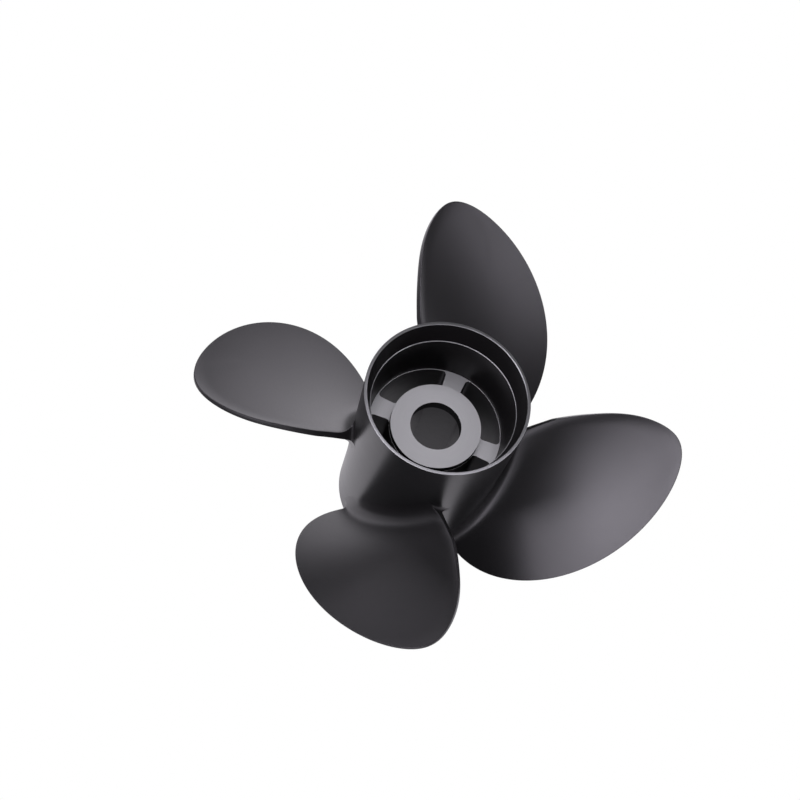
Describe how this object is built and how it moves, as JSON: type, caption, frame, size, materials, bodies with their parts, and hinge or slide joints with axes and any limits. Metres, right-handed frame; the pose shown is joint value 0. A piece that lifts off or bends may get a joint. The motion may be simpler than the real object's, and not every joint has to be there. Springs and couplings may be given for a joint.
{
  "type": "outboard motor propeller",
  "caption": "Right-hand propeller with raked black blades on a flared through-hub exhaust barrel, machined inner hub held by ribs.",
  "frame": {"origin": "on the shaft axis, in the plane of the barrel's forward end, on which the part stands", "axes": "+Z along the shaft axis, aft; X and Y across it, the blades' root middles lie 27.5 degrees clockwise of +X, +Y, -X and -Y seen from aft"},
  "size_m": [0.3482, 0.3482, 0.1608],
  "materials": {
    "barrel_black": "semi-gloss black paint on cast aluminium, after end faced bright",
    "blade_black": "semi-gloss black paint on cast aluminium",
    "hub_metal": "cast aluminium, after face turned bright, the rest painted black",
    "rib_metal": "cast aluminium, after ends turned bright, the sides painted black"
  },
  "bodies": {
    "root": {"outer_barrel": "barrel_black", "inner_hub": "hub_metal", "rib_1": "rib_metal", "rib_2": "rib_metal", "rib_3": "rib_metal", "rib_4": "rib_metal", "blade_1": "blade_black", "blade_2": "blade_black", "blade_3": "blade_black", "blade_4": "blade_black"}
  },
  "joints": []
}
